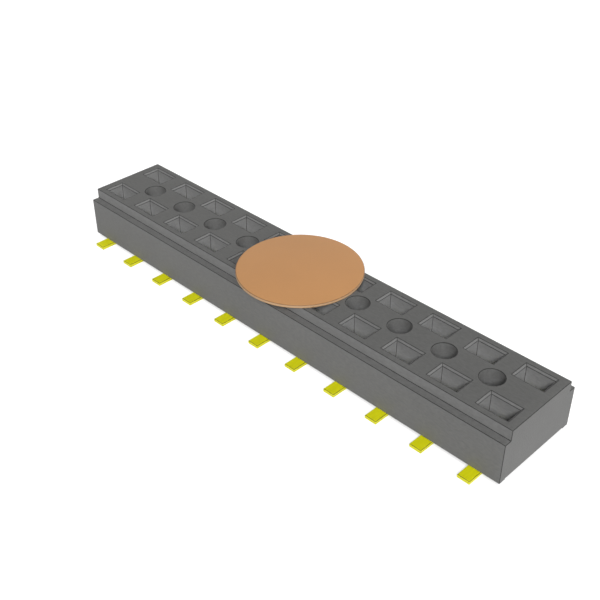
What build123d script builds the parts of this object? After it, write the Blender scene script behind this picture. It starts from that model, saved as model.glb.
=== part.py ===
"""Low-profile surface-mount board socket, two rows of eleven positions on a 2.00 mm grid.

A moulded housing holds twenty-two stamped and formed contacts. Each contact is a channel
pressed up into the housing from below, with two opposed spring beams that wipe a square
pin and a flat solder tail that leaves under the long side of the housing. A round film pad
is stuck over the middle of the top face, so that a vacuum nozzle can lift the socket.

Frame: X runs along the rows, Y across them, Z up. The origin is the centre of the
footprint on the board, so the undersides of the solder tails lie at Z = 0.
All sizes are in millimetres.
"""

import os

from build123d import *

# Pin grid
positions = 11
pitch = 2.00
row_spacing = 2.00

# Housing
end_relief = 0.015
side_wall = 0.4775
body_height = 2.11
ledge_width = 0.305
ledge_drop = 0.43
rib_width = 0.31
rib_height = 0.04

# Pin pockets and the core holes between them
pocket_length = 1.13
pocket_width = 0.715
pocket_lead_in = 0.076
cavity_lead_in = 0.08
core_hole_diameter = 0.89
core_floor = 0.50

# Contacts: sheet, solder tail and retaining channel
sheet = 0.15
bend_radius = 0.08
tail_width = 0.50
tail_reach = 0.58
channel_inset = 0.14
channel_height = 0.42
barb_base = 0.13
barb_shoulder = 0.04
barb_slope = 0.12

# Contacts: spring beams, with the gap taken at the corners that the wipe radius rounds off
beam_gap = 0.35
beam_mouth = 0.55
beam_root_width = 0.50
beam_tip_width = 0.34
beam_shank = 0.07
beam_lean = 0.52
beam_flare = 0.20
knee_radius = 0.25
wipe_radius = 0.16

# Film pad
pad_diameter = 4.97
pad_thickness = 0.13

# Heights that the housing and the contacts share
seat_z = sheet
underside_z = seat_z + rib_height
top_z = seat_z + body_height
ledge_z = top_z - ledge_drop
channel_bottom = underside_z + channel_inset
channel_top = channel_bottom + channel_height

# Across the rows: the web of a contact stands in a recess on the outer side of its pocket
row_y = row_spacing / 2
web_inner = pocket_width / 2
web_outer = web_inner + sheet
half_width = row_y + web_outer + side_wall


def build_housing():
    """The moulded body: one extruded section, opened by pockets, cavities and core holes."""
    half_top = half_width - ledge_width

    with BuildPart() as housing:
        # Half of the cross-section, from the underside round the rib and ledge to the top
        with BuildSketch(Plane.YZ):
            with BuildLine():
                Polyline(
                    (0, underside_z),
                    (half_width - rib_width, underside_z),
                    (half_width - rib_width, seat_z),
                    (half_width, seat_z),
                    (half_width, ledge_z),
                    (half_top, ledge_z),
                    (half_top, top_z),
                    (0, top_z),
                    close=True,
                )
            make_face()
            mirror(about=Plane.YZ)
        extrude(amount=positions * pitch / 2 - end_relief, both=True)

        # Pin pockets, open right through so that a long pin can pass into the board
        with BuildSketch(Plane.XY.offset(top_z)):
            with GridLocations(pitch, row_spacing, positions, 2):
                Rectangle(pocket_length, pocket_width)
        extrude(amount=-top_z, mode=Mode.SUBTRACT)
        top_face = housing.faces().sort_by(Axis.Z)[-1]
        chamfer(top_face.inner_wires().edges(), pocket_lead_in)

        # Each pocket widens outwards below, where the web of its contact stands
        with BuildSketch(Plane.XY.offset(underside_z)):
            with GridLocations(pitch, row_spacing + sheet, positions, 2):
                Rectangle(pocket_length, pocket_width + sheet)
        extrude(amount=channel_top - underside_z, mode=Mode.SUBTRACT)
        underside = housing.faces().filter_by(Plane.XY).group_by(Axis.Z)[1].face()
        chamfer(underside.inner_wires().edges(), cavity_lead_in)

        # Blind core holes thin the middle of the moulding between neighbouring positions
        with Locations(Plane.XY.offset(top_z)):
            with GridLocations(pitch, row_spacing, positions - 1, 1):
                Hole(core_hole_diameter / 2, body_height - rib_height - core_floor)
    return housing


def build_contact():
    """One contact about the centre of its pocket, with the solder tail towards -Y."""
    beam_x = (pocket_length - sheet) / 2
    wipe_x = (beam_gap + sheet) / 2
    mouth_x = (beam_mouth + sheet) / 2
    knee_z = channel_top + beam_shank
    wipe_z = knee_z + beam_lean
    tip_z = wipe_z + beam_flare
    barb_z = channel_bottom + barb_base
    web_y = -(web_inner + web_outer) / 2
    middle_bend = bend_radius + sheet / 2

    with BuildPart() as contact:
        # Side view across the row: two beams that lean in to the pin and flare at the mouth
        with BuildSketch(Plane.XZ):
            with BuildLine():
                FilletPolyline(
                    (beam_x, channel_top),
                    (beam_x, knee_z),
                    (wipe_x, wipe_z),
                    (mouth_x, tip_z),
                    radius=(knee_radius, wipe_radius),
                )
            trace(line_width=sheet)
            mirror(about=Plane.YZ)
        extrude(amount=beam_root_width / 2, both=True)

        # Seen along the row, each beam tapers from its root to its tip
        with BuildSketch(Plane.YZ):
            with BuildLine():
                Polyline(
                    (beam_root_width / 2, channel_top),
                    (beam_tip_width / 2, tip_z + sheet),
                    (-beam_tip_width / 2, tip_z + sheet),
                    (-beam_root_width / 2, channel_top),
                    close=True,
                )
            make_face()
        extrude(amount=pocket_length / 2, both=True, mode=Mode.INTERSECT)

        # The retaining channel in plan: a web folded round to a flange under each beam
        with BuildSketch(Plane.XY.offset(channel_bottom)):
            with BuildLine():
                FilletPolyline(
                    (-beam_x, beam_root_width / 2),
                    (-beam_x, web_y),
                    (beam_x, web_y),
                    (beam_x, beam_root_width / 2),
                    radius=middle_bend,
                )
            trace(line_width=sheet)
        extrude(amount=channel_height)

        # A barb on the free edge of each flange bites the inner wall of the pocket
        with BuildSketch(Plane.YZ.offset(beam_x), Plane.YZ.offset(-beam_x)):
            with BuildLine():
                Polyline(
                    (beam_root_width / 2, barb_z),
                    (web_inner, barb_z + barb_shoulder),
                    (beam_root_width / 2, barb_z + barb_shoulder + barb_slope),
                    close=True,
                )
            make_face()
        extrude(amount=sheet / 2, both=True)

        # The solder tail: down from the web, then outwards flat on the board
        with BuildSketch(Plane.YZ):
            with BuildLine():
                FilletPolyline(
                    (web_y, channel_bottom),
                    (web_y, sheet / 2),
                    (row_y - half_width - tail_reach, sheet / 2),
                    radius=middle_bend,
                )
            trace(line_width=sheet)
        extrude(amount=tail_width / 2, both=True)
    return contact


def build_pad():
    """The round film pad, lying on the top face over the middle of the socket."""
    with BuildPart() as pad:
        with BuildSketch(Plane.XY.offset(top_z)):
            Circle(pad_diameter / 2)
        extrude(amount=pad_thickness)
    return pad


def write(builder, name):
    """Labels a finished piece and writes it to its own file."""
    builder.part.label = name
    export_step(builder.part, f"parts/{name}.step")


def main():
    """Builds every piece where it belongs in the socket."""
    os.makedirs("parts", exist_ok=True)
    write(build_housing(), "housing")
    write(build_pad(), "pick_and_place_pad")

    form = build_contact()
    for row, side, turn in (("front", -1, 0), ("rear", 1, 180)):
        for number in range(1, positions + 1):
            x = (number - (positions + 1) / 2) * pitch
            with BuildPart() as contact:
                with Locations(Location((x, side * row_y, 0), (0, 0, turn))):
                    add(form.part)
            write(contact, f"contact_{row}_{number:02d}")


if __name__ == "__main__":
    main()
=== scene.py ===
"""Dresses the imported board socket: a moulded housing, formed contacts and a round film pad.

The file is laid out as a Blender add-on and is run as a script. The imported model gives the
fixed frame, in metres, with the board at Z = 0. Each piece is a surface worked out with
numpy, in its own place, with a procedural material.
"""

import math
from types import SimpleNamespace

import bmesh
import bpy
import numpy as np
from bpy.props import FloatProperty, FloatVectorProperty, IntProperty, PointerProperty
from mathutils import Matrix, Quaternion, Vector


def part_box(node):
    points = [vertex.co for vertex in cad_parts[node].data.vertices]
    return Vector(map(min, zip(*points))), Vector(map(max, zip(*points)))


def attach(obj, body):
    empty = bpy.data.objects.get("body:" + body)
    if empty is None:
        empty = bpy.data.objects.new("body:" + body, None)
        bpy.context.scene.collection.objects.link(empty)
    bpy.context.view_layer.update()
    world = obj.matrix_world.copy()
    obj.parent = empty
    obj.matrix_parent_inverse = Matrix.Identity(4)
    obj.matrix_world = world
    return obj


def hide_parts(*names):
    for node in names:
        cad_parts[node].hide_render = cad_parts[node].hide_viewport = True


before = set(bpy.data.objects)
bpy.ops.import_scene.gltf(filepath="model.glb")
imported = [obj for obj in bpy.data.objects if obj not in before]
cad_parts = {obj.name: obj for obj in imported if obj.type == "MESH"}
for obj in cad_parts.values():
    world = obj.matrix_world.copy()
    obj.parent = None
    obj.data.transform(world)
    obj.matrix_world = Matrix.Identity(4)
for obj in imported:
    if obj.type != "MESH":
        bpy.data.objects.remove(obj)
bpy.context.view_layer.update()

bl_info = {
    "name": "Board Socket",
    "version": (1, 0, 0),
    "blender": (4, 5, 0),
    "location": "View3D > Sidebar > Board Socket",
    "description": "Builds the housing, contacts, film pad and stage of a board socket",
    "category": "Add Mesh",
}

MM = 0.001
HOUSING = "housing"
PAD = "pick_and_place_pad"
ROWS = (("front", -1), ("rear", 1))
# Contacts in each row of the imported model
PACKED_POSITIONS = sum(name.startswith("contact_front_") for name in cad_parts)

# Points closer than this are joined
JOINED = 2e-7
# Faces that meet at more than this angle keep a hard line between them
HARD_ANGLE = math.radians(40)
# How far the large faces decide the shading of the small ones beside them
FLAT_WEIGHT = 60


# Settings
def length(name, value, description):
    """A length property with its default in millimetres."""
    return FloatProperty(name=name, description=description, default=value * MM,
                         unit="LENGTH", subtype="DISTANCE", precision=6, min=0.0)


def point(name, value, description):
    """A place in space with its default in millimetres."""
    return FloatVectorProperty(name=name, description=description, subtype="XYZ",
                               default=[part * MM for part in value], unit="LENGTH",
                               precision=6)


def colour(name, value, description):
    """A colour property in linear values."""
    return FloatVectorProperty(name=name, description=description, default=value,
                               subtype="COLOR", size=3, min=0.0, max=1.0)


def brightness(name, value, description):
    """A level of light."""
    return FloatProperty(name=name, description=description, default=value, min=0.0)


class SocketGridSettings(bpy.types.PropertyGroup):
    """The pin grid, which the housing and the contacts share."""
    positions: IntProperty(name="Positions", description="Contacts in each row",
                           default=PACKED_POSITIONS, min=1)
    pitch: length("Pitch", 2.0, "Distance between neighbouring contacts of a row")
    row_spacing: length("Row spacing", 2.0, "Distance between the two rows")
    pocket_length: length("Pocket length", 1.13, "Inside of a pin pocket along the row")
    pocket_width: length("Pocket width", 0.715, "Inside of a pin pocket across the rows")
    sheet: length("Sheet", 0.15, "Thickness of the contacts' strip")


class SocketHousingSettings(bpy.types.PropertyGroup):
    """The moulded housing."""
    ledge_width: length("Ledge width", 0.305, "Width of the ledge along each long side")
    ledge_drop: length("Ledge drop", 0.43, "Depth of the ledge below the top face")
    rib_width: length("Rib width", 0.31, "Width of the ribs that stand on the solder tails")
    rib_height: length("Rib height", 0.04, "Height of the ribs under the long sides")
    lead_in: length("Lead-in", 0.076, "Chamfer at the mouth of a pin pocket")
    cavity_lead_in: length("Cavity lead-in", 0.08, "Chamfer round a pocket's lower opening")
    recess_top: length("Recess top", 0.75, "Height of the step over a contact's web")
    core_diameter: length("Core hole", 0.89, "Diameter of the core holes")
    core_floor: length("Core floor", 0.5, "Thickness left under the core holes")
    edge_radius: length("Edge radius", 0.024, "Rounding of the outer edges")
    rim_radius: length("Rim radius", 0.012, "Rounding of the mouths and the ribs")
    edge_hem: length("Edge hem", 0.02, "Width over which the edges' darker line fades")
    # Painted light: the second colour below is laid on the upright faces, and from this depth down
    # fully on the pocket walls, to lighten their shade
    polish_depth: length("Polish depth", 0.75, "Depth where the pockets are fully polished")
    tint: colour("Colour", (0.110, 0.110, 0.107), "Colour of the moulding's eroded faces")
    polished: colour("Polished", (0.310, 0.310, 0.312), "Colour of the polished pocket walls")


class SocketContactSettings(bpy.types.PropertyGroup):
    """The stamped and formed contacts."""
    bend_radius: length("Bend radius", 0.08, "Inner radius of the channel and tail bends")
    tail_width: length("Tail width", 0.5, "Width of the solder tail")
    channel_bottom: length("Channel bottom", 0.33, "Height where the channel begins")
    channel_height: length("Channel height", 0.42, "Height of the retaining channel")
    barb_base: length("Barb base", 0.13, "Height of the channel below its barb")
    barb_shoulder: length("Barb shoulder", 0.04, "Height of the barb's steep side")
    barb_slope: length("Barb slope", 0.12, "Height of the barb's gentle side")
    beam_gap: length("Beam gap", 0.35, "Gap at the corners that the wipe radius rounds")
    beam_mouth: length("Beam mouth", 0.55, "Gap between the tips of the beams")
    root_width: length("Root width", 0.5, "Width of a beam at its root")
    tip_width: length("Tip width", 0.34, "Width of a beam at its tip")
    shank: length("Shank", 0.07, "Upright start of a beam")
    lean: length("Lean", 0.52, "Height over which a beam leans in to the pin")
    flare: length("Flare", 0.2, "Height over which a beam's tip turns out")
    knee_radius: length("Knee radius", 0.25, "Radius at the foot of a beam")
    wipe_radius: length("Wipe radius", 0.16, "Radius where a beam touches the pin")
    burnish: length("Burnish", 0.018, "Rounding of the strip's cut edges")
    tint: colour("Colour", (0.845, 0.835, 0.005), "Colour of the plating")
    sheared: colour("Sheared edge", (0.62, 0.60, 0.015), "Colour of the strip's cut edges")


class SocketPadSettings(bpy.types.PropertyGroup):
    """The round film pad."""
    rim_radius: length("Rim radius", 0.03, "Rounding of the film's cut rim")
    segments: IntProperty(name="Segments", description="Steps round the pad",
                          default=160, min=24)
    tint: colour("Colour", (0.485, 0.240, 0.091), "Colour of the film")
    rim: colour("Cut rim", (0.394, 0.248, 0.137), "Colour of the film's cut rim")


class SocketStageSettings(bpy.types.PropertyGroup):
    """The floor, the light and the camera."""
    floor_size: length("Floor size", 1200.0, "Side of the floor")
    floor_colour: colour("Floor", (0.55, 0.55, 0.55), "Colour that the floor lights with")
    floor_glow: brightness("Floor glow", 0.66, "Glow that makes the floor look white")
    sky: brightness("Sky", 1.25, "Level of the sky at the horizon")
    front: brightness("Front lamp", 0.93, "Level of the lamp at the front")
    side: brightness("Side lamp", 0.37, "Level of the lamp at the right")
    rear: brightness("Rear lamp", 0.25, "Level of the lamp behind")
    eye: point("Camera", (21.754, -21.641, 22.603), "Place of the camera")
    aim: point("Aim", (-1.140, 1.127, -0.250), "Point that the camera faces")
    roll: FloatProperty(name="Roll", description="Turn of the camera about its view",
                        default=-0.0027, subtype="ANGLE", unit="ROTATION")
    lens: FloatProperty(name="Lens", description="Focal length in millimetres",
                        default=57.358, min=1.0)


# Curves and grids
def rounded_path(corners, radii, steps):
    """Points and unit directions along an open path whose inner corners are arcs.

    At a corner where the path turns by an angle a, an arc of radius r begins r tan(a / 2)
    before the corner and ends as far behind it. Its points lie at equal angles about its
    centre, and its directions turn by the same angles.
    """
    corners = np.asarray(corners, float)
    legs = np.diff(corners, axis=0)
    legs /= np.linalg.norm(legs, axis=1)[:, None]
    points, directions = [corners[:1]], [legs[:1]]
    for corner, before, after, radius in zip(corners[1:-1], legs, legs[1:], radii):
        turn = math.atan2(before[0] * after[1] - before[1] * after[0], before @ after)
        side = math.copysign(1.0, turn)
        start = corner - before * radius * math.tan(abs(turn) / 2)
        normal = side * np.array((-before[1], before[0]))
        angle = np.linspace(0.0, turn, steps + 1)[:, None]
        points.append(start + radius * (normal * (1 - np.cos(angle))
                                        + before * np.sin(np.abs(angle))))
        directions.append(before * np.cos(angle) + normal * np.sin(np.abs(angle)))
    points.append(corners[-1:])
    directions.append(legs[-1:])
    return np.concatenate(points), np.concatenate(directions)


def add_stations(points, directions, extra):
    """The same path with more stations, at distances from its start or, if negative, its end.

    Those on its straight runs are exact, because both ends of a run have one direction.
    """
    gaps = np.linalg.norm(np.diff(points, axis=0), axis=1)
    distance = np.append(0.0, np.cumsum(gaps))
    extra = [gap if gap >= 0 else distance[-1] + gap for gap in extra]
    stations = np.unique(np.round(np.concatenate([distance, extra]), 12))

    def sample(values):
        return np.stack([np.interp(stations, distance, column) for column in values.T], axis=1)

    headings = sample(directions)
    return sample(points), headings / np.linalg.norm(headings, axis=1)[:, None], stations


def arc_marks(steps, arcs):
    """A mark for each point of a rounded path, which is 1 inside its arcs and 0 at their ends."""
    one_arc = np.pad(np.ones(steps - 1), 1)
    return np.pad(np.tile(one_arc, arcs), 1)


def turned(profile, count):
    """A profile of radius and height, turned about the upright axis in a number of steps."""
    angle = np.linspace(0.0, 2 * math.pi, count + 1)[:-1]
    return np.stack([profile[:, :1] * np.cos(angle), profile[:, :1] * np.sin(angle),
                     np.repeat(profile[:, 1:], count, axis=1)], axis=-1)


def loop_quads(rows, columns, closed=False):
    """Corner numbers of the quads between the rows of a grid of points."""
    index = np.arange(rows * columns).reshape(rows, columns)
    if closed:
        index = np.concatenate([index, index[:, :1]], axis=1)
    low, high = index[:-1], index[1:]
    quads = np.stack([low[:, :-1], low[:, 1:], high[:, 1:], high[:, :-1]], axis=-1)
    return quads.reshape(-1, 4)


def centred(count, pitch):
    """Places of a number of things along a row, about its middle."""
    return (np.arange(count) - (count - 1) / 2) * pitch


class Shell:
    """Gathers grids of points, with a mark for those on an edge, into one mesh."""

    def __init__(self):
        self.points, self.edges = [], []
        self.quads, self.polygons = [], []
        self.count = 0

    def grid(self, points, closed=False, edge=0.0):
        """Adds a grid of rows and columns of points, closed along its rows or open."""
        rows, columns = points.shape[:2]
        self.points.append(points.reshape(-1, 3))
        self.edges.append(np.broadcast_to(edge, (rows, columns)).ravel())
        self.quads.append(loop_quads(rows, columns, closed) + self.count)
        self.count += rows * columns

    def polygon(self, loop):
        """Adds one flat face with the loop of points as its outline."""
        self.points.append(loop)
        self.edges.append(np.zeros(len(loop)))
        self.polygons.append(list(range(self.count, self.count + len(loop))))
        self.count += len(loop)

    def build(self, name):
        """Makes the object: touching borders are joined and the faces turned outwards."""
        faces = np.concatenate(self.quads).tolist() + self.polygons
        return make_object(name, np.concatenate(self.points), faces,
                           edge=("POINT", np.concatenate(self.edges)))


def store(mesh, name, domain, values):
    """Keeps a number for each face or point under a name that the material reads."""
    mesh.attributes.new(name, "FLOAT", domain).data.foreach_set(
        "value", np.asarray(values, np.float32))


def read_rows(items, field):
    """A field of three numbers of all of a mesh's vertices or faces, one row for each."""
    values = np.empty(3 * len(items), np.float32)
    items.foreach_get(field, values)
    return values.reshape(-1, 3)


def make_object(name, points, faces, **marks):
    """A mesh object at the origin, joined where points meet, smooth with firm flats.

    Each mark is a domain with a number for each of its elements, under its own name.
    """
    mesh = bpy.data.meshes.new(name)
    mesh.from_pydata(points.tolist(), [], faces)
    for mark, (domain, values) in marks.items():
        store(mesh, mark, domain, values)
    shape = bmesh.new()
    shape.from_mesh(mesh)
    bmesh.ops.remove_doubles(shape, verts=shape.verts, dist=JOINED)
    bmesh.ops.recalc_face_normals(shape, faces=shape.faces)
    shape.to_mesh(mesh)
    shape.free()
    mesh.shade_smooth()
    mesh.set_sharp_from_angle(angle=HARD_ANGLE)
    piece = bpy.data.objects.new(name, mesh)
    bpy.context.scene.collection.objects.link(piece)
    firm = piece.modifiers.new("Firm flats", "WEIGHTED_NORMAL")
    firm.mode = "FACE_AREA"
    firm.weight = FLAT_WEIGHT
    firm.keep_sharp = True
    return piece


def hand_over(piece, material, node):
    """Gives a piece its material and its body, and hides the node that it replaces."""
    piece.data.materials.append(material)
    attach(piece, "root")
    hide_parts(node)


# The housing
# Points along the runs of a position's share of a flat face, and in its small arcs
OUTER_STEPS, SIDE_STEPS, ARC_STEPS, CENTRE_STEPS, CORNER_STEPS = 10, 7, 12, 4, 3
# Number of the last point of a path's first arc
FIRST_BEND = CORNER_STEPS + 1
# Steps of each rounded corner of the cross-section, and how many corners half of it has
EDGE_STEPS, SECTION_ARCS = 4, 5

# Share of the painted light, and of the gloss that comes with it, that each place has before its
# slope counts
SIDE_SHARE, STEP_SHARE, LEDGE_SHARE, MOUTH_SHARE, CORE_SHARE = 0.1, 0.19, 0.12, 0.3, 0.33


def housing_sizes(grid, body):
    """The housing's sizes and heights, from its box in the frame and its settings."""
    low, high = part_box(HOUSING)
    at = SimpleNamespace(half_length=high[0], half_width=high[1], seat=low[2], top=high[2],
                         edge=body.edge_radius, rim=body.rim_radius, hem=body.edge_hem,
                         row=grid.row_spacing / 2, core=body.core_diameter / 2)
    at.underside = at.seat + body.rib_height
    at.ledge = at.top - body.ledge_drop
    at.half_top = at.half_width - body.ledge_width
    at.rib = at.half_width - body.rib_width
    at.plate_end = at.half_length - at.edge
    at.plate_side = at.half_top - 2 * at.edge
    at.notch = at.core + at.rim + at.hem
    return at


def stretch(start, end, steps):
    """Evenly spaced points from start towards end, without the end itself."""
    share = np.linspace(0.0, 1.0, steps + 1)[:-1, None]
    start, end = np.array((start, end))
    return start + share * (end - start)


def arc(centre, radius, first, last, steps):
    """Evenly spaced points of an arc between two angles, without the last point."""
    angle = np.linspace(first, last, steps + 1)[:-1]
    return radius * np.stack([np.cos(angle), np.sin(angle)], axis=1) + centre


def cell_outline(left, right, outer, inner, left_notch, right_notch):
    """Anticlockwise outline of one position's share of a flat face.

    It runs along the outer side and up the right side, round the quarter of a core hole
    there, back along the centre line, round the other quarter and down the left side. A
    notch of zero radius leaves a plain corner, and the side has its points.
    """
    runs = [stretch((left, outer), (right, outer), OUTER_STEPS)]
    if right_notch:
        runs += [stretch((right, outer), (right, inner - right_notch), SIDE_STEPS),
                 arc((right, inner), right_notch, -math.pi / 2, -math.pi, ARC_STEPS)]
    else:
        runs += [stretch((right, outer), (right, inner), SIDE_STEPS + ARC_STEPS)]
    runs += [stretch((right - right_notch, inner), (left + left_notch, inner), CENTRE_STEPS)]
    if left_notch:
        runs += [arc((left, inner), left_notch, 0.0, -math.pi / 2, ARC_STEPS),
                 stretch((left, inner - left_notch), (left, outer), SIDE_STEPS)]
    else:
        runs += [stretch((left, inner), (left, outer), SIDE_STEPS + ARC_STEPS)]
    return np.concatenate(runs)


MOUTH_STEPS = (OUTER_STEPS, SIDE_STEPS + ARC_STEPS // 2, CENTRE_STEPS + ARC_STEPS,
               SIDE_STEPS + ARC_STEPS // 2)


def mouth_corners():
    """A mark for each point of a mouth loop, which is 1 within its corners' arcs."""
    arcs = np.ones(CORNER_STEPS)
    return np.concatenate([np.concatenate([arcs, np.zeros(count - 2 * CORNER_STEPS + 1), arcs[1:]])
                           for count in MOUTH_STEPS])


def mouth_loop(half_length, outer, inner, radius):
    """Anticlockwise rounded rectangle with as many points as a cell outline.

    Each side begins and ends in the middle of a corner's arc, so that it faces the same side
    of the outline.
    """
    corners = np.array([(-half_length, outer), (half_length, outer),
                        (half_length, inner), (-half_length, inner)])
    ends = np.roll(corners, -1, axis=0)
    runs = []
    for turn, (count, start, end) in enumerate(zip(MOUTH_STEPS, corners, ends)):
        along = (end - start) / np.linalg.norm(end - start)
        inwards = np.array((-along[1], along[0]))
        first = start + radius * (along + inwards)
        last = end + radius * (inwards - along)
        angle = turn * math.pi / 2
        straight = count - 2 * CORNER_STEPS
        runs += [arc(first, radius, angle - math.pi * 3 / 4, angle - math.pi / 2, CORNER_STEPS),
                 stretch(first - radius * inwards, last - radius * inwards, straight),
                 arc(last, radius, angle - math.pi / 2, angle - math.pi / 4, CORNER_STEPS)]
    return np.concatenate(runs)


def at_height(loop, height):
    """Rows of coordinates with a height added to each."""
    return np.column_stack([loop, np.full(len(loop), height)])


def housing_section(inset, at):
    """Half of the cross-section, from the top plate round the side to the underside.

    The outline is a path through the corners of ledge and rib. Drawn in by an inset, each
    flat moves into the body by as much, outward corners lose that from their radius and the
    inward one at the foot of the step gains it.
    """
    outward, inward = max(at.edge - inset, 0.0), at.edge + inset
    small = max(at.rim - inset, 0.0)
    corners = [(at.plate_side, at.top - inset),
               (at.half_top - inset, at.top - inset),
               (at.half_top - inset, at.ledge - inset),
               (at.half_width - inset, at.ledge - inset),
               (at.half_width - inset, at.seat + inset),
               (at.rib + inset, at.seat + inset),
               (at.rib + inset, at.underside + inset)]
    radii = (outward, inward, outward, outward, small)
    return rounded_path(corners, radii, EDGE_STEPS)[0]


def position_shares(grid, at):
    """The middle of each position, and how far its share of the plates goes to left and right."""
    for number, x in enumerate(centred(grid.positions, grid.pitch)):
        left = -at.plate_end - x if number == 0 else -grid.pitch / 2
        right = at.plate_end - x if number == grid.positions - 1 else grid.pitch / 2
        yield x, left, right


def pocket_tube(grid, body, at):
    """Loops down the wall of a pin pocket, with a mark for each point that is on an edge.

    The wall's profile is an offset from the inside and a height. It has a point a hem's
    width from each of the two edges at its mouth, where their dark line has faded out. On
    the lead-in, whose slope is 1, both coordinates change alike.
    """
    upper = rounded_path([(body.lead_in + at.hem, at.top), (body.lead_in, at.top),
                          (0.0, at.top - body.lead_in), (0.0, body.recess_top + at.rim)],
                         (at.rim, at.rim), CORNER_STEPS)[0]
    down = at.hem / math.sqrt(2)
    upper = np.concatenate([
        upper[:FIRST_BEND + 1],
        [upper[FIRST_BEND] - down, upper[FIRST_BEND + 1] + down],
        upper[FIRST_BEND + 1:-1],
        [upper[-2] - (0.0, at.hem), (0.0, at.top - body.polish_depth)],
        upper[-1:]])
    on_arc = np.zeros(len(upper))
    on_arc[1:FIRST_BEND + 1] = 1.0
    on_arc[FIRST_BEND + 3:-3] = 1.0
    lower = rounded_path([(0.0, body.recess_top), (0.0, at.underside + body.cavity_lead_in),
                          (body.cavity_lead_in, at.underside),
                          (body.cavity_lead_in + at.hem, at.underside)],
                         (at.rim, at.rim), CORNER_STEPS)[0]

    # Below the recess's top the outer wall stands further out, by the contact's sheet
    steps = [(offset, height, 0.0) for offset, height in upper]
    steps += [(offset, height, grid.sheet) for offset, height in lower]
    half_length, half_width = grid.pocket_length / 2, grid.pocket_width / 2
    corner = 1.5 * at.rim
    tube = [at_height(mouth_loop(half_length + offset, -half_width - recess - offset,
                                 half_width + offset, corner), height)
            for offset, height, recess in steps]
    edge = np.zeros((len(tube), len(tube[0])))
    # Painted shade: the dark edge line also runs down the pocket's inner corners
    edge[1:len(upper)] = np.maximum(on_arc[1:, None], mouth_corners())
    return tube, edge


def add_pockets(shell, grid, body, at):
    """Adds the top plate, the pockets and the underside, one position after the other."""
    tube, edge = pocket_tube(grid, body, at)
    edge = np.pad(edge, ((1, 1), (0, 0)))
    for number, (x, left, right) in enumerate(position_shares(grid, at)):
        notches = (at.notch if number > 0 else 0.0,
                   at.notch if number < grid.positions - 1 else 0.0)
        upper = cell_outline(left, right, at.row - at.plate_side, at.row, *notches)
        lower = cell_outline(left, right, at.row - at.rib, at.row, 0.0, 0.0)
        cell = np.stack([at_height(upper, at.top), *tube, at_height(lower, at.underside)])
        for _, side in ROWS:
            place = cell + (x, -at.row, 0.0)
            shell.grid(place * (1, -side, 1), closed=True, edge=edge)


def add_sides(shell, grid, at):
    """Adds the long sides: the section carried along the row."""
    section = housing_section(0.0, at)
    stations = [x + np.linspace(left, right, OUTER_STEPS + 1)[:-1]
                for x, left, right in position_shares(grid, at)]
    stations = np.concatenate(stations + [[at.plate_end]])
    for side in (-1, 1):
        wall = np.zeros((len(stations), len(section), 3))
        wall[..., 0] = stations[:, None]
        wall[..., 1:] = section * (side, 1)
        # Every arc of the section gets the dark edge line, which is painted shade in the crease at
        # the foot of the step
        shell.grid(wall, edge=arc_marks(EDGE_STEPS, SECTION_ARCS))


def add_ends(shell, at):
    """Adds the ends: the whole outline drawn in along a quarter round, then closed flat."""
    share = np.linspace(-1.0, 1.0, 2 * (SIDE_STEPS + ARC_STEPS) + 1)[1:-1, None]
    flat = np.zeros(len(share))
    marks = arc_marks(EDGE_STEPS, SECTION_ARCS)
    for end in (-1, 1):
        rings = []
        for angle in np.linspace(0.0, math.pi / 2, EDGE_STEPS + 1):
            inset = at.edge * (1 - math.cos(angle))
            half = housing_section(inset, at)
            outline = np.concatenate([
                at_height(share * at.plate_side, at.top - inset), half,
                at_height(-share * (at.rib + inset), at.underside + inset),
                half[::-1] * (-1, 1)])
            x = end * (at.plate_end + at.edge * math.sin(angle))
            rings.append(np.column_stack([np.full(len(outline), x), outline]))
        edge = np.ones((len(rings), len(outline)))
        # The ends' first ring carries the same line, painted shade at the foot of the step
        edge[0] = np.concatenate([flat, marks, flat, marks[::-1]])
        edge[-1] = 0.0
        shell.grid(np.stack(rings), closed=True, edge=edge)
        shell.polygon(rings[-1])


def add_core_holes(shell, grid, body, at):
    """Adds the core holes: a wall with a rounded rim and floor, turned about its axis."""
    floor = at.underside + body.core_floor
    profile = rounded_path([(at.notch, at.top), (at.core, at.top), (at.core, floor), (0.0, floor)],
                           (at.rim, 2 * at.rim), CORNER_STEPS)[0]
    profile = np.insert(profile, FIRST_BEND + 1, profile[FIRST_BEND] - (0.0, at.hem), axis=0)
    edge = np.zeros((len(profile), 1))
    edge[1:FIRST_BEND + 1] = 1.0
    hole = turned(profile, 4 * ARC_STEPS)
    for x in centred(grid.positions - 1, grid.pitch):
        shell.grid(hole + (x, 0.0, 0.0), closed=True, edge=edge)


def mark_gloss_and_painted_light(mesh, at, depth):
    """Notes on each point how far the painted light and the gloss go, from 0 to 1.

    It is the surface's upright share, one less the square of its normal's height, times a
    share for the place, so the upright faces are painted lighter than the top. A pocket's
    share rises evenly from its mouth to 1 at the given depth, and a core hole's more slowly
    from nothing: painted light where their walls lie in shade. Only the flat ledges have a
    share without being upright, painted light in the shade of the step.
    """
    points = read_rows(mesh.vertices, "co")
    x, y = np.abs(points[:, :2]).T
    slope = 1 - read_rows(mesh.vertices, "normal")[:, 2] ** 2
    down = (at.top - points[:, 2]) / depth
    # Room for the rounded edges between one place and the next
    skin = 0.1 * MM
    between = x < at.half_length - 2 * skin
    in_pocket = between & (y < at.half_top - skin)
    in_core = in_pocket & (y < at.core + skin)
    on_step = between & (y < at.half_top + skin)
    # Painted light: each place's share of the lighter colour, most where the pockets lie in shade
    share = np.select([in_core, in_pocket, on_step],
                      [CORE_SHARE * down,
                       np.minimum(MOUTH_SHARE + (1 - MOUTH_SHARE) * down, 1.0),
                       STEP_SHARE], SIDE_SHARE)
    on_ledge = (y > at.half_top) & (np.abs(points[:, 2] - at.ledge) < JOINED)
    store(mesh, "finish", "POINT", np.where(on_ledge, LEDGE_SHARE, slope * share))


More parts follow.
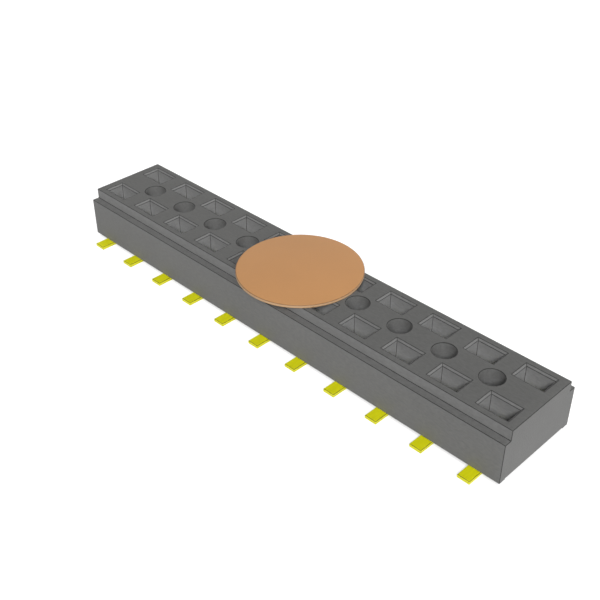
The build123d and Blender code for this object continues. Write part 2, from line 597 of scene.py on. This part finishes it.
class MESH_OT_socket_housing(bpy.types.Operator):
    """Builds the moulded housing with its pockets, core holes, ledges and ribs"""
    bl_idname = "mesh.socket_housing"
    bl_label = "Socket Housing"
    bl_options = {"REGISTER", "UNDO"}

    def execute(self, context):
        socket = context.scene.board_socket
        grid, body = socket.grid, socket.housing
        at = housing_sizes(grid, body)
        shell = Shell()
        add_pockets(shell, grid, body, at)
        add_sides(shell, grid, at)
        add_ends(shell, at)
        add_core_holes(shell, grid, body, at)
        piece = shell.build("moulded_housing")
        # The finish mark calls up the second colour: painted light on the upright faces and in the
        # pockets
        mark_gloss_and_painted_light(piece.data, at, body.polish_depth)
        hand_over(piece, housing_material(body.tint, body.polished), HOUSING)
        return {"FINISHED"}


# The contacts
CHANNEL_STEPS, SIDE_VIEW_STEPS = 8, 7
# Distance, in the plan's stations, from a flange's edge to the line of its barb
BARB_LINE = 1.0
# Slack for comparing stations
TINY = 1e-9


def contact_levels(form):
    """Heights of a contact, from the channel's lower edge to the tip of a beam."""
    at = SimpleNamespace(bottom=form.channel_bottom)
    at.top = at.bottom + form.channel_height
    at.knee = at.top + form.shank
    at.wipe = at.knee + form.lean
    at.tip = at.wipe + form.flare
    at.barb = at.bottom + form.barb_base
    at.shoulder = at.barb + form.barb_shoulder
    at.barb_top = at.shoulder + form.barb_slope
    return at


def channel_plan(form, grid):
    """Points, outward normals and stations of the channel's plan, and its last station.

    The right half has stations at the edges of tail and beam and just inside them. Past the
    edge of the flange comes the line of its barb, at the wall of the pocket. The left half
    is its mirror image, with stations below zero.
    """
    half_sheet, half_tail, root = grid.sheet / 2, form.tail_width / 2, form.root_width / 2
    beam_x = grid.pocket_length / 2 - half_sheet
    web_y = -grid.pocket_width / 2 - half_sheet
    fine = form.burnish
    plan, direction = rounded_path([(0.0, web_y), (beam_x, web_y), (beam_x, root)],
                                   (form.bend_radius + half_sheet,), CHANNEL_STEPS)
    plan, direction, across = add_stations(
        plan, direction, (half_tail - fine, half_tail, -2 * root, fine - 2 * root,
                          -1.5 * root, -root, -0.5 * root, -fine))
    last = across[-1]
    plan = np.vstack([plan, plan[-1] + (0.0, grid.pocket_width / 2 - root)])
    direction = np.vstack([direction, direction[-1]])
    across = np.append(across, last + BARB_LINE)

    # Outward is to the right of each direction
    normal = direction[:, ::-1] * (1, -1)
    return (np.concatenate([plan[:0:-1] * (-1, 1), plan]),
            np.concatenate([normal[:0:-1] * (-1, 1), normal]),
            np.concatenate([-across[:0:-1], across]), last)


def side_view(form, grid, at, tip_y):
    """Columns of offsets, heights and normals, from the tail's end to a beam's tip."""
    half_sheet = grid.sheet / 2
    tail_reach = -grid.pocket_width / 2 - half_sheet - tip_y
    side, direction = rounded_path(
        [(tail_reach, half_sheet), (0.0, half_sheet), (0.0, at.knee),
         ((form.beam_gap - grid.pocket_length) / 2 + grid.sheet, at.wipe),
         ((form.beam_mouth - grid.pocket_length) / 2 + grid.sheet, at.tip)],
        (form.bend_radius + half_sheet, form.knee_radius, form.wipe_radius), SIDE_VIEW_STEPS)

    # Stations on the upright web lie as far past its start as they are higher than it
    web = SIDE_VIEW_STEPS + 1
    run = np.linalg.norm(np.diff(side[:web + 1], axis=0), axis=1).sum() - side[web, 1]
    levels = np.array((at.bottom, at.bottom + form.burnish, at.barb, at.shoulder, at.barb_top,
                       at.top - form.burnish, at.top))
    side, direction, _ = add_stations(
        side, direction,
        np.concatenate([[form.burnish, tail_reach / 2], run + levels, [-form.burnish]]))
    return side[:, :1], side[:, 1:], direction[:, ::-1] * (1, -1)


def strip_faces(solid, padded, cut):
    """Faces of a strip that fills the solid cells of a net, with two marks for each.

    The net's points come twice, for the strip's outer and inner side. A rim follows each
    net line that has the strip on one side only. The first mark is 1 on the rim, which was
    sheared, and the second is 1 on the cells that touch a cut line.
    """
    quads = loop_quads(*cut.shape)[solid.ravel()]
    index = np.arange(cut.size).reshape(cut.shape)
    rims = []
    for change, start, end in (
            (np.diff(padded[:, 1:-1], axis=0), index[:, :-1], index[:, 1:]),
            (np.diff(padded[1:-1], axis=1), index[1:], index[:-1])):
        for sign in (1, -1):
            pick = change == sign
            a, b = (start[pick], end[pick]) if sign > 0 else (end[pick], start[pick])
            rims.append(np.stack([b, a, a + cut.size, b + cut.size], axis=1))
    faces = np.concatenate([quads, quads[:, ::-1] + cut.size, *rims])
    marks = np.zeros((2, len(faces)))
    marks[0, 2 * len(quads):] = 1
    marks[1, :2 * len(quads)] = np.tile(cut.ravel()[quads].any(axis=1), 2)
    return faces, marks


def contact_surface(form, grid, tip_y):
    """Points, faces and marks of a contact about its pocket's centre, with the tail towards -Y.

    The strip's middle surface is a net. One way it follows the channel's plan, from the
    middle of the web round a bend to each flange. The other way it follows the side view,
    from the end of the tail up through the web to the tip of a beam. A point is the plan's
    point, moved along the plan's normal by the side view's offset, at the side view's
    height. The strip's two faces lie half a sheet to either side, a rim closes them, and
    cells of the net outside the stamped outline are left out.
    """
    half_sheet, half_tail, root = grid.sheet / 2, form.tail_width / 2, form.root_width / 2
    at = contact_levels(form)
    plan, normal, across, last = channel_plan(form, grid)
    offset, height, side_normal = side_view(form, grid, at, tip_y)

    # The barb's line springs from the flange's edge, and beams narrow towards the tip
    spread = np.interp(height, (at.barb, at.shoulder, at.barb_top), (0.0, 1.0, 0.0))
    on_barb = np.abs(across) > last + BARB_LINE / 2
    width = np.where(on_barb, root + (plan[:, 1] - root) * spread, plan[:, 1])
    narrowed = np.clip((height - at.top) / (at.tip + grid.sheet - at.top), 0, 1)
    width *= 1 - narrowed * (1 - form.tip_width / form.root_width)
    out_x, out_y = normal.T
    middle = np.stack(np.broadcast_arrays(
        plan[:, 0] + out_x * offset, width + out_y * offset, height), axis=-1)
    facing = np.stack(np.broadcast_arrays(
        out_x * side_normal[:, :1], out_y * side_normal[:, :1], side_normal[:, 1:]), axis=-1)

    # The stamped outline, cell by cell
    nearest, furthest = np.sort(np.abs([across[:-1], across[1:]]), axis=0)
    is_channel = furthest < last + TINY
    is_beam = is_channel & (nearest > last - 2 * root - TINY)
    level = (height[:-1] + height[1:]) / 2
    in_barb = (level > at.barb) & (level < at.barb_top)
    solid = np.where(level < at.bottom, furthest < half_tail + TINY,
                     np.where(level > at.top, is_beam, is_channel | in_barb))

    # Cut edges are a little thinner than the sheet, which rounds them
    padded = np.pad(solid, 1).astype(int)
    around = padded[:-1, :-1] + padded[:-1, 1:] + padded[1:, :-1] + padded[1:, 1:]
    cut = (around > 0) & (around < 4)
    half = np.where(cut, half_sheet - form.burnish, half_sheet)[..., None]
    points = np.concatenate([middle + facing * half, middle - facing * half]).reshape(-1, 3)
    faces, marks = strip_faces(solid, padded, cut)
    used, compact = np.unique(faces, return_inverse=True)
    return points[used], compact.reshape(faces.shape), marks


class MESH_OT_socket_contacts(bpy.types.Operator):
    """Builds the formed contacts, one object for each pin"""
    bl_idname = "mesh.socket_contacts"
    bl_label = "Socket Contacts"
    bl_options = {"REGISTER", "UNDO"}

    def execute(self, context):
        socket = context.scene.board_socket
        grid, form = socket.grid, socket.contacts
        row = grid.row_spacing / 2
        tip_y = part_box("contact_front_01")[0][1] + row
        points, faces, (sheared, burnished) = contact_surface(form, grid, tip_y)
        plating = contact_material(form.tint, form.sheared)
        for name, side in ROWS:
            for number, x in enumerate(centred(grid.positions, grid.pitch), 1):
                place = points * (-side, -side, 1) + (x, side * row, 0.0)
                node = f"contact_{name}_{number:02d}"
                piece = make_object(f"formed_{node}", place, faces.tolist(),
                                    finish=("FACE", sheared), edge=("FACE", burnished))
                hand_over(piece, plating, node)
        return {"FINISHED"}


# The film pad
RIM_STEPS = 5


class MESH_OT_socket_pad(bpy.types.Operator):
    """Builds the round film pad by turning its profile about the upright axis"""
    bl_idname = "mesh.socket_pad"
    bl_label = "Socket Film Pad"
    bl_options = {"REGISTER", "UNDO"}

    def execute(self, context):
        film = context.scene.board_socket.pad
        low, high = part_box(PAD)
        radius, bottom, top = high[0], low[2], high[2]
        profile = rounded_path([(0.0, bottom), (radius, bottom), (radius, top), (0.0, top)],
                               (film.rim_radius, film.rim_radius), RIM_STEPS)[0]
        shell = Shell()
        shell.grid(turned(profile, film.segments), closed=True,
                   edge=arc_marks(RIM_STEPS, 2)[:, None])
        piece = shell.build("film_pad")
        on_rim = np.abs(read_rows(piece.data.polygons, "normal")[:, 2]) < 0.5
        store(piece.data, "finish", "FACE", on_rim)
        hand_over(piece, pad_material(film.tint, film.rim), PAD)
        return {"FINISHED"}


# Materials
VECTOR_MATH = "ShaderNodeVectorMath"
WHITE = (1.0, 1.0, 1.0, 1.0)
# Inputs and outputs of the surface group, by kind
GROUP_SOCKETS = (
    ("INPUT", "Color", ("Tint", "Worked tint")),
    ("INPUT", "Vector", ("Stretch",)),
    ("INPUT", "Float", ("Tone size", "Tone depth", "Grain size", "Grain depth", "Roughness",
                        "Roughness depth", "Roughness shift", "Finish", "Edge", "Edge depth")),
    ("OUTPUT", "Color", ("Color",)),
    ("OUTPUT", "Float", ("Roughness", "Height")))
# Numbers of a Mix node's sockets for two colours and for the mixed one
MIX_FIRST, MIX_SECOND, MIX_RESULT = 6, 7, 2
# Share of its relief that a surface loses where its finish is 1
RELIEF_LOST = 0.6


def empty_tree(owner, output):
    """The emptied node tree of a material or world, and the Surface socket of its new output."""
    owner.use_nodes = True
    tree = owner.node_tree
    tree.nodes.clear()
    return tree, tree.nodes.new(output).inputs["Surface"]


def feed(tree, slot, value):
    """Links a socket to an input, or sets the input to a plain value."""
    if isinstance(value, bpy.types.NodeSocket):
        tree.links.new(value, slot)
    else:
        slot.default_value = value


def add_node(tree, kind, inputs):
    """A new node whose inputs are fed by their names."""
    node = tree.nodes.new(kind)
    for label, value in inputs.items():
        feed(tree, node.inputs[label], value)
    return node


def combine(tree, operation, *values, kind="ShaderNodeMath"):
    """The result of a Math or Vector Math node whose inputs are fed in turn."""
    node = tree.nodes.new(kind)
    node.operation = operation
    for slot, value in zip(node.inputs, values):
        feed(tree, slot, value)
    return node.outputs[0]


def grain_group():
    """The shared surface group: a broad tone, a fine grain and a height, on Object coordinates.

    Tone and grain are noise fields, the second far finer than the first. Colour is the
    tint, or the second tint where the finish is 1, made lighter or darker by both fields,
    and darker on the edges. On the housing the second tint is painted light, and the dark
    edge line is painted shade where it runs along creases. Roughness moves with the grain
    and, at full finish, by the roughness shift. Height is the grain for a Bump node, and
    falls with the finish.
    """
    name = "Surface grain"
    if name in bpy.data.node_groups:
        return bpy.data.node_groups[name]
    group = bpy.data.node_groups.new(name, "ShaderNodeTree")
    for way, kind, labels in GROUP_SOCKETS:
        for label in labels:
            group.interface.new_socket(name=label, in_out=way, socket_type="NodeSocket" + kind)

    nodes, links = group.nodes, group.links
    inlet = nodes.new("NodeGroupInput").outputs
    outlet = nodes.new("NodeGroupOutput").inputs
    place = nodes.new("ShaderNodeTexCoord").outputs["Object"]
    stretched = combine(group, "MULTIPLY", place, inlet["Stretch"], kind=VECTOR_MATH)

    def noise(scale, detail):
        field = add_node(group, "ShaderNodeTexNoise",
                         {"Vector": stretched, "Scale": inlet[scale], "Detail": detail})
        return combine(group, "SUBTRACT", field.outputs["Fac"], 0.5)

    tone = noise("Tone size", detail=3.0)
    grain = noise("Grain size", detail=2.0)
    shade = combine(group, "MULTIPLY_ADD", tone, inlet["Tone depth"], 1.0)
    shade = combine(group, "MULTIPLY_ADD", grain, inlet["Grain depth"], shade)
    darker = combine(group, "MULTIPLY", inlet["Edge"], inlet["Edge depth"])
    shade = combine(group, "MULTIPLY", shade, combine(group, "SUBTRACT", 1.0, darker))
    worked = add_node(group, "ShaderNodeMix", {"Factor": inlet["Finish"]})
    worked.data_type = "RGBA"
    links.new(inlet["Tint"], worked.inputs[MIX_FIRST])
    links.new(inlet["Worked tint"], worked.inputs[MIX_SECOND])
    links.new(combine(group, "MULTIPLY", worked.outputs[MIX_RESULT], shade, kind=VECTOR_MATH),
              outlet["Color"])
    rough = combine(group, "MULTIPLY_ADD", grain, inlet["Roughness depth"], inlet["Roughness"])
    rough = combine(group, "MULTIPLY_ADD", inlet["Finish"], inlet["Roughness shift"], rough)
    links.new(rough, outlet["Roughness"])
    relief = combine(group, "MULTIPLY_ADD", inlet["Finish"], -RELIEF_LOST, 1.0)
    links.new(combine(group, "MULTIPLY", grain, relief), outlet["Height"])
    return group


def grained_material(name, tints, metallic, specular, bump, **values):
    """A material whose colour, roughness and relief come from the surface group.

    The group's finish and edge are read from the piece, and are 0 where it has none. The
    bump is the depth of the relief in metres.
    """
    material = bpy.data.materials.new(name)
    tree, surface = empty_tree(material, "ShaderNodeOutputMaterial")
    grain = tree.nodes.new("ShaderNodeGroup")
    grain.node_tree = grain_group()
    for label, tint in zip(("Tint", "Worked tint"), tints):
        grain.inputs[label].default_value = (*tint, 1.0)
    for label, value in values.items():
        grain.inputs[label.replace("_", " ").capitalize()].default_value = value
    for mark in ("finish", "edge"):
        reader = tree.nodes.new("ShaderNodeAttribute")
        reader.attribute_name = mark
        tree.links.new(reader.outputs["Fac"], grain.inputs[mark.capitalize()])
    relief = add_node(tree, "ShaderNodeBump", {
        "Strength": 1.0, "Distance": bump, "Height": grain.outputs["Height"]})
    shader = add_node(tree, "ShaderNodeBsdfPrincipled", {
        "Base Color": grain.outputs["Color"], "Roughness": grain.outputs["Roughness"],
        "Normal": relief.outputs["Normal"], "Metallic": metallic,
        "Specular IOR Level": specular})
    tree.links.new(shader.outputs["BSDF"], surface)
    return material


def housing_material(*tints):
    """Glass-filled moulded plastic: matte, with a fine spark-eroded grain and flow marks."""
    return grained_material(
        "Moulded plastic", tints, metallic=0.0, specular=0.2, bump=1e-5,
        stretch=(0.45, 1.0, 1.0), tone_size=600.0, tone_depth=0.18, grain_size=14000.0,
        grain_depth=0.42, roughness=0.66, roughness_depth=0.3, roughness_shift=-0.12,
        edge_depth=0.75)


def contact_material(*tints):
    """Gold-flashed strip: satin metal with fine rolling lines, duller on its sheared faces."""
    return grained_material(
        "Gold-flashed strip", tints, metallic=0.3, specular=0.4, bump=1.2e-6,
        stretch=(1.0, 0.12, 1.0), tone_size=900.0, tone_depth=0.12, grain_size=16000.0,
        grain_depth=0.16, roughness=0.38, roughness_depth=0.25, roughness_shift=0.12,
        edge_depth=0.75)


def pad_material(*tints):
    """Amber film: satin, with a faint mottle from the adhesive under it and a pale cut rim."""
    return grained_material(
        "Amber film", tints, metallic=0.0, specular=0.3, bump=1.5e-6,
        stretch=(1.0, 1.0, 1.0), tone_size=500.0, tone_depth=0.10, grain_size=9000.0,
        grain_depth=0.05, roughness=0.42, roughness_depth=0.12, roughness_shift=0.15,
        edge_depth=0.5)


# The stage
# Name of each lamp, the angle in degrees that its light spreads over and its direction
LAMPS = (("front", 20, (0.50, -0.60, 0.62)),
         ("side", 40, (0.96, -0.10, 0.24)),
         ("rear", 40, (0.20, 0.87, 0.45)))
FLOOR_LINES = 5


def looked_at(tree):
    """A socket that is 1 for rays of the camera, of reflections and through clear things."""
    path = tree.nodes.new("ShaderNodeLightPath").outputs
    seen = combine(tree, "MAXIMUM", path["Is Camera Ray"], path["Is Glossy Ray"])
    return combine(tree, "MAXIMUM", seen, path["Is Transmission Ray"])


def floor_material(stage):
    """A floor that lights the object as its own colour and looks white where no shadow falls.

    The glow that makes it look white fades out under the housing, over a margin inside its
    outline: a painted shadow under the housing.
    """
    material = bpy.data.materials.new("Pale floor")
    tree, surface = empty_tree(material, "ShaderNodeOutputMaterial")
    margin = 0.3 * MM
    half_length, half_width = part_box(HOUSING)[1][:2]
    place = tree.nodes.new("ShaderNodeTexCoord").outputs["Object"]
    outside = combine(tree, "SUBTRACT", combine(tree, "ABSOLUTE", place, kind=VECTOR_MATH),
                      (half_length - margin, half_width - margin, 0.0), kind=VECTOR_MATH)
    split = add_node(tree, "ShaderNodeSeparateXYZ", {"Vector": outside}).outputs
    # Painted shadow: the glow is taken away under the housing
    fade = add_node(tree, "ShaderNodeMapRange", {
        "Value": combine(tree, "MAXIMUM", split["X"], split["Y"]),
        "From Max": margin, "To Max": stage.floor_glow})
    matte = add_node(tree, "ShaderNodeBsdfDiffuse", {"Color": (*stage.floor_colour, 1.0)})
    glow = add_node(tree, "ShaderNodeEmission", {
        "Color": WHITE,
        "Strength": combine(tree, "MULTIPLY", looked_at(tree), fade.outputs["Result"])})
    both = tree.nodes.new("ShaderNodeAddShader")
    for slot, shader in zip(both.inputs, (matte, glow)):
        tree.links.new(shader.outputs[0], slot)
    tree.links.new(both.outputs[0], surface)
    return material


def studio_sky(stage):
    """A world that looks white, and whose light falls with the square of 1 - height."""
    world = bpy.data.worlds.new("Studio")
    tree, surface = empty_tree(world, "ShaderNodeOutputWorld")
    direction = tree.nodes.new("ShaderNodeTexCoord").outputs["Generated"]
    split = add_node(tree, "ShaderNodeSeparateXYZ", {"Vector": direction})
    height = combine(tree, "MAXIMUM", split.outputs["Z"], 0.0)
    fall = combine(tree, "POWER", combine(tree, "SUBTRACT", 1.0, height), 2.0)
    level = add_node(tree, "ShaderNodeMapRange", {
        "Value": looked_at(tree), "To Min": combine(tree, "MULTIPLY", fall, stage.sky),
        "To Max": 1.0})
    background = add_node(tree, "ShaderNodeBackground", {
        "Color": WHITE, "Strength": level.outputs["Result"]})
    tree.links.new(background.outputs[0], surface)
    return world


class SCENE_OT_socket_stage(bpy.types.Operator):
    """Sets the floor, the soft light and the camera at the photograph's angle"""
    bl_idname = "scene.socket_stage"
    bl_label = "Socket Stage"
    bl_options = {"REGISTER", "UNDO"}

    def execute(self, context):
        scene = context.scene
        stage = scene.board_socket.stage
        scene.view_settings.view_transform = "Standard"
        scene.world = studio_sky(stage)

        # Floor
        side = np.linspace(-stage.floor_size / 2, stage.floor_size / 2, FLOOR_LINES)
        net = np.stack(np.meshgrid(side, side, 0.0), axis=-1)
        mesh = bpy.data.meshes.new("floor")
        mesh.from_pydata(net.reshape(-1, 3).tolist(), [],
                         loop_quads(FLOOR_LINES, FLOOR_LINES).tolist())
        floor = bpy.data.objects.new("floor", mesh)
        floor.data.materials.append(floor_material(stage))
        scene.collection.objects.link(floor)

        # Lamps
        for name, spread, towards in LAMPS:
            lamp = bpy.data.lights.new(name, "SUN")
            lamp.energy = getattr(stage, name) * math.pi
            lamp.angle = math.radians(spread)
            sun = bpy.data.objects.new(name, lamp)
            sun.rotation_euler = aim_rotation(towards)
            scene.collection.objects.link(sun)

        # Camera
        lens = bpy.data.cameras.new("camera")
        lens.lens = stage.lens
        lens.sensor_width = 36.0
        lens.clip_start = MM
        lens.clip_end = 10.0
        camera = bpy.data.objects.new("camera", lens)
        camera.location = stage.eye
        camera.rotation_euler = aim_rotation(stage.eye - stage.aim, stage.roll)
        scene.collection.objects.link(camera)
        scene.camera = camera
        return {"FINISHED"}


def aim_rotation(back, roll=0.0):
    """Euler angles that point +Z along back with X level, and then turn about Z by the roll."""
    level = Vector(back).to_track_quat("Z", "Y")
    return (level @ Quaternion((0.0, 0.0, 1.0), roll)).to_euler()


# The sidebar
class SocketSettings(bpy.types.PropertyGroup):
    """All the settings of the board socket."""
    grid: PointerProperty(type=SocketGridSettings)
    housing: PointerProperty(type=SocketHousingSettings)
    contacts: PointerProperty(type=SocketContactSettings)
    pad: PointerProperty(type=SocketPadSettings)
    stage: PointerProperty(type=SocketStageSettings)


# The operator that builds from each group of settings
BUILDERS = {"housing": "mesh.socket_housing", "contacts": "mesh.socket_contacts",
            "pad": "mesh.socket_pad", "stage": "scene.socket_stage"}


class VIEW3D_PT_board_socket(bpy.types.Panel):
    """Lists the pieces of the board socket with their settings."""
    bl_idname = "VIEW3D_PT_board_socket"
    bl_label = "Board Socket"
    bl_space_type = "VIEW_3D"
    bl_region_type = "UI"
    bl_category = "Board Socket"

    def draw(self, context):
        for part in SocketSettings.__annotations__:
            box = self.layout.box()
            box.label(text=part.capitalize())
            if part in BUILDERS:
                box.operator(BUILDERS[part])
            group = getattr(context.scene.board_socket, part)
            for name in group.__annotations__:
                box.prop(group, name)


CLASSES = (SocketGridSettings, SocketHousingSettings, SocketContactSettings,
           SocketPadSettings, SocketStageSettings, SocketSettings,
           MESH_OT_socket_housing, MESH_OT_socket_contacts, MESH_OT_socket_pad,
           SCENE_OT_socket_stage, VIEW3D_PT_board_socket)


def register():
    """Registers the classes and puts the settings on the scene."""
    for item in CLASSES:
        bpy.utils.register_class(item)
    bpy.types.Scene.board_socket = PointerProperty(type=SocketSettings)


def unregister():
    """Takes the settings and the classes away again."""
    del bpy.types.Scene.board_socket
    for item in reversed(CLASSES):
        bpy.utils.unregister_class(item)


def main():
    """Builds every piece and the stage."""
    register()
    bpy.ops.mesh.socket_housing()
    bpy.ops.mesh.socket_contacts()
    bpy.ops.mesh.socket_pad()
    bpy.ops.scene.socket_stage()


if __name__ == "__main__":
    main()
